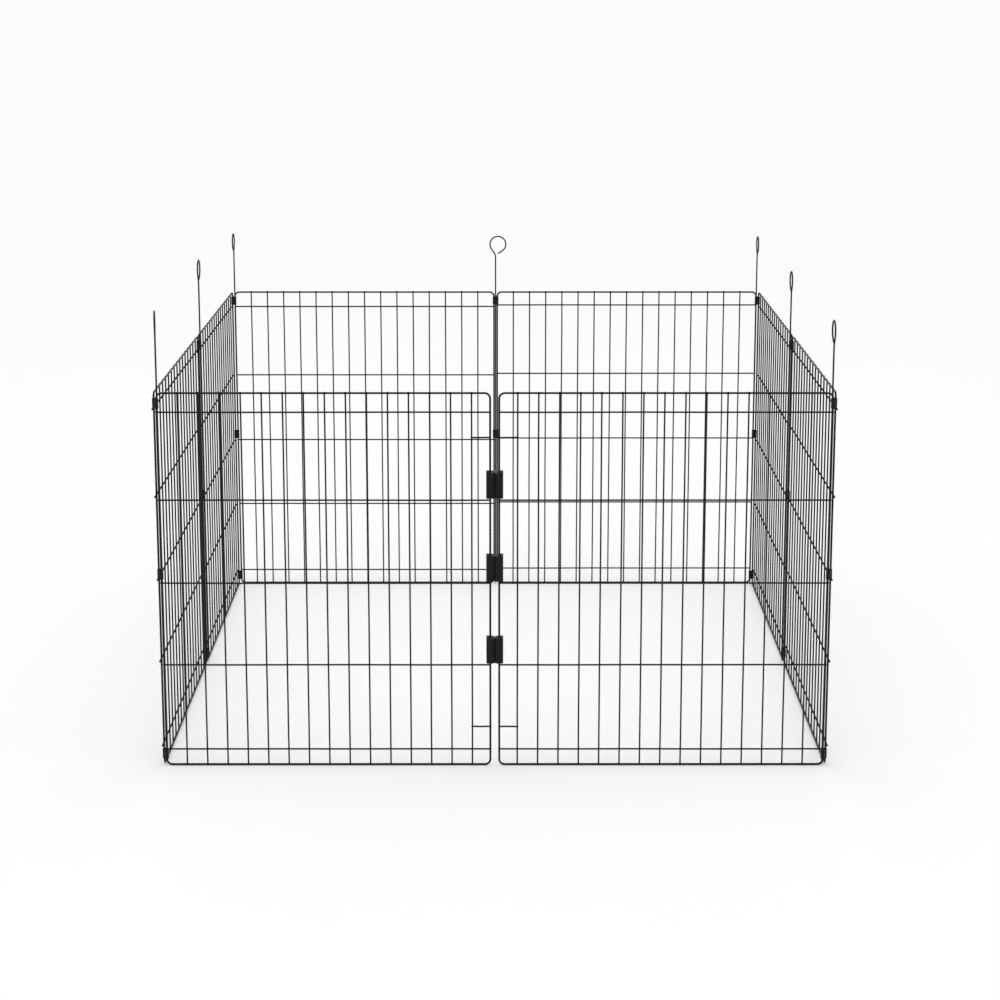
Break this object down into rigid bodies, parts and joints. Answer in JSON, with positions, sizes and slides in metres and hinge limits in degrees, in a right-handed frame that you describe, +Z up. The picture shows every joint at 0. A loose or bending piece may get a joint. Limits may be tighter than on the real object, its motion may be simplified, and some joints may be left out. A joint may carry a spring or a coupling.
{
  "type": "pet playpen",
  "caption": "Square folding pet playpen of hinged welded-wire panels, with ground stakes at the joints and plastic connectors closing the front.",
  "frame": {"origin": "centre of the square pen on the floor", "axes": "+Z up, -Y out of the pen's front, where the opening is, +X to the right seen from the front"},
  "size_m": [1.247, 1.2546, 0.8695],
  "materials": {
    "panel_wire": "semi-gloss black coating on welded steel wire",
    "hinge_band": "satin black coating on folded steel strip",
    "stake_wire": "semi-gloss black coating on bent steel wire",
    "connector_plastic": "matte black moulded plastic"
  },
  "bodies": {
    "front_left_panel": {"front_left_panel": "panel_wire"},
    "left_front_panel": {"left_front_panel": "panel_wire"},
    "left_back_panel": {"left_back_panel": "panel_wire"},
    "back_left_panel": {"back_left_panel": "panel_wire"},
    "back_right_panel": {"back_right_panel": "panel_wire"},
    "right_back_panel": {"right_back_panel": "panel_wire"},
    "right_front_panel": {"right_front_panel": "panel_wire"},
    "front_right_panel": {"front_right_panel": "panel_wire"},
    "front_left_corner_hinge": {"front_left_corner_bottom_band": "hinge_band", "front_left_corner_middle_band": "hinge_band", "front_left_corner_top_band": "hinge_band"},
    "left_middle_hinge": {"left_middle_bottom_band": "hinge_band", "left_middle_middle_band": "hinge_band", "left_middle_top_band": "hinge_band"},
    "back_left_corner_hinge": {"back_left_corner_bottom_band": "hinge_band", "back_left_corner_middle_band": "hinge_band", "back_left_corner_top_band": "hinge_band"},
    "back_middle_hinge": {"back_middle_bottom_band": "hinge_band", "back_middle_middle_band": "hinge_band", "back_middle_top_band": "hinge_band"},
    "back_right_corner_hinge": {"back_right_corner_bottom_band": "hinge_band", "back_right_corner_middle_band": "hinge_band", "back_right_corner_top_band": "hinge_band"},
    "right_middle_hinge": {"right_middle_bottom_band": "hinge_band", "right_middle_middle_band": "hinge_band", "right_middle_top_band": "hinge_band"},
    "front_right_corner_hinge": {"front_right_corner_bottom_band": "hinge_band", "front_right_corner_middle_band": "hinge_band", "front_right_corner_top_band": "hinge_band"},
    "front_left_corner_stake": {"front_left_corner_stake": "stake_wire"},
    "left_middle_stake": {"left_middle_stake": "stake_wire"},
    "back_left_corner_stake": {"back_left_corner_stake": "stake_wire"},
    "back_middle_stake": {"back_middle_stake": "stake_wire"},
    "back_right_corner_stake": {"back_right_corner_stake": "stake_wire"},
    "right_middle_stake": {"right_middle_stake": "stake_wire"},
    "front_right_corner_stake": {"front_right_corner_stake": "stake_wire"},
    "bottom_connector": {"bottom_connector": "connector_plastic"},
    "middle_connector": {"middle_connector": "connector_plastic"},
    "top_connector": {"top_connector": "connector_plastic"}
  },
  "joints": [
    {"name": "fold", "type": "hinge", "parent": "back_left_panel", "child": "back_right_panel", "pos_m": [-0.0038, 0.61877, 0], "axis": [0, 0, 1], "range_deg": [0, 86]},
    {"name": "back_middle_band_turn", "type": "hinge", "parent": "back_left_panel", "child": "back_middle_hinge", "pos_m": [-0.0038, 0.61877, 0], "axis": [0, 0, 1], "range_deg": [0, 86]},
    {"name": "back_right_corner_fold", "type": "hinge", "parent": "back_right_panel", "child": "right_back_panel", "pos_m": [0.6134, 0.61877, 0], "axis": [0, 0, 1], "range_deg": [-43, 0]},
    {"name": "back_right_corner_band_turn", "type": "hinge", "parent": "back_right_panel", "child": "back_right_corner_hinge", "pos_m": [0.6134, 0.61877, 0], "axis": [0, 0, 1], "range_deg": [-43, 0]},
    {"name": "right_middle_fold", "type": "hinge", "parent": "right_back_panel", "child": "right_front_panel", "pos_m": [0.61877, 0.0038, 0], "axis": [0, 0, 1], "range_deg": [0, 86]},
    {"name": "right_middle_band_turn", "type": "hinge", "parent": "right_back_panel", "child": "right_middle_hinge", "pos_m": [0.61877, 0.0038, 0], "axis": [0, 0, 1], "range_deg": [0, 86]},
    {"name": "front_right_corner_fold", "type": "hinge", "parent": "right_front_panel", "child": "front_right_panel", "pos_m": [0.61877, -0.6134, 0], "axis": [0, 0, 1], "range_deg": [-43, 0]},
    {"name": "front_right_corner_band_turn", "type": "hinge", "parent": "right_front_panel", "child": "front_right_corner_hinge", "pos_m": [0.61877, -0.6134, 0], "axis": [0, 0, 1], "range_deg": [-43, 0]},
    {"name": "back_left_corner_fold", "type": "hinge", "parent": "back_left_panel", "child": "left_back_panel", "pos_m": [-0.6134, 0.61877, 0], "axis": [0, 0, 1], "range_deg": [0, 43]},
    {"name": "back_left_corner_band_turn", "type": "hinge", "parent": "back_left_panel", "child": "back_left_corner_hinge", "pos_m": [-0.6134, 0.61877, 0], "axis": [0, 0, 1], "range_deg": [0, 43]},
    {"name": "left_middle_fold", "type": "hinge", "parent": "left_back_panel", "child": "left_front_panel", "pos_m": [-0.61877, 0.0038, 0], "axis": [0, 0, 1], "range_deg": [-86, 0]},
    {"name": "left_middle_band_turn", "type": "hinge", "parent": "left_back_panel", "child": "left_middle_hinge", "pos_m": [-0.61877, 0.0038, 0], "axis": [0, 0, 1], "range_deg": [-86, 0]},
    {"name": "front_left_corner_fold", "type": "hinge", "parent": "left_front_panel", "child": "front_left_panel", "pos_m": [-0.61877, -0.6134, 0], "axis": [0, 0, 1], "range_deg": [0, 43]},
    {"name": "front_left_corner_band_turn", "type": "hinge", "parent": "left_front_panel", "child": "front_left_corner_hinge", "pos_m": [-0.61877, -0.6134, 0], "axis": [0, 0, 1], "range_deg": [0, 43]},
    {"name": "front_left_corner_stake_slide", "type": "slide", "parent": "front_left_corner_hinge", "child": "front_left_corner_stake", "axis": [0, 0, 1], "range_m": [-0.102, 0.72]},
    {"name": "left_middle_stake_slide", "type": "slide", "parent": "left_middle_hinge", "child": "left_middle_stake", "axis": [0, 0, 1], "range_m": [-0.112, 0.72]},
    {"name": "back_left_corner_stake_slide", "type": "slide", "parent": "back_left_corner_hinge", "child": "back_left_corner_stake", "axis": [0, 0, 1], "range_m": [-0.093, 0.72]},
    {"name": "back_middle_stake_slide", "type": "slide", "parent": "back_middle_hinge", "child": "back_middle_stake", "axis": [0, 0, 1], "range_m": [-0.086, 0.72]},
    {"name": "back_right_corner_stake_slide", "type": "slide", "parent": "back_right_corner_hinge", "child": "back_right_corner_stake", "axis": [0, 0, 1], "range_m": [-0.086, 0.72]},
    {"name": "right_middle_stake_slide", "type": "slide", "parent": "right_middle_hinge", "child": "right_middle_stake", "axis": [0, 0, 1], "range_m": [-0.088, 0.72]},
    {"name": "front_right_corner_stake_slide", "type": "slide", "parent": "front_right_corner_hinge", "child": "front_right_corner_stake", "axis": [0, 0, 1], "range_m": [-0.085, 0.72]},
    {"name": "bottom_connector_slide", "type": "slide", "parent": "front_right_panel", "child": "bottom_connector", "axis": [0, 0, 1], "range_m": [0, 0.1]},
    {"name": "middle_connector_slide", "type": "slide", "parent": "front_right_panel", "child": "middle_connector", "axis": [0, 0, 1], "range_m": [0, 0.1]},
    {"name": "top_connector_slide", "type": "slide", "parent": "front_right_panel", "child": "top_connector", "axis": [0, 0, 1], "range_m": [0, 0.06]}
  ],
  "couplings": [
    {"joint": "back_middle_band_turn", "follows": "fold", "ratio": 1},
    {"joint": "back_right_corner_fold", "follows": "fold", "ratio": -0.5},
    {"joint": "back_right_corner_band_turn", "follows": "fold", "ratio": -0.5},
    {"joint": "right_middle_fold", "follows": "fold", "ratio": 1},
    {"joint": "right_middle_band_turn", "follows": "fold", "ratio": 1},
    {"joint": "front_right_corner_fold", "follows": "fold", "ratio": -0.5},
    {"joint": "front_right_corner_band_turn", "follows": "fold", "ratio": -0.5},
    {"joint": "back_left_corner_fold", "follows": "fold", "ratio": 0.5},
    {"joint": "back_left_corner_band_turn", "follows": "fold", "ratio": 0.5},
    {"joint": "left_middle_fold", "follows": "fold", "ratio": -1},
    {"joint": "left_middle_band_turn", "follows": "fold", "ratio": -1},
    {"joint": "front_left_corner_fold", "follows": "fold", "ratio": 0.5},
    {"joint": "front_left_corner_band_turn", "follows": "fold", "ratio": 0.5}
  ]
}
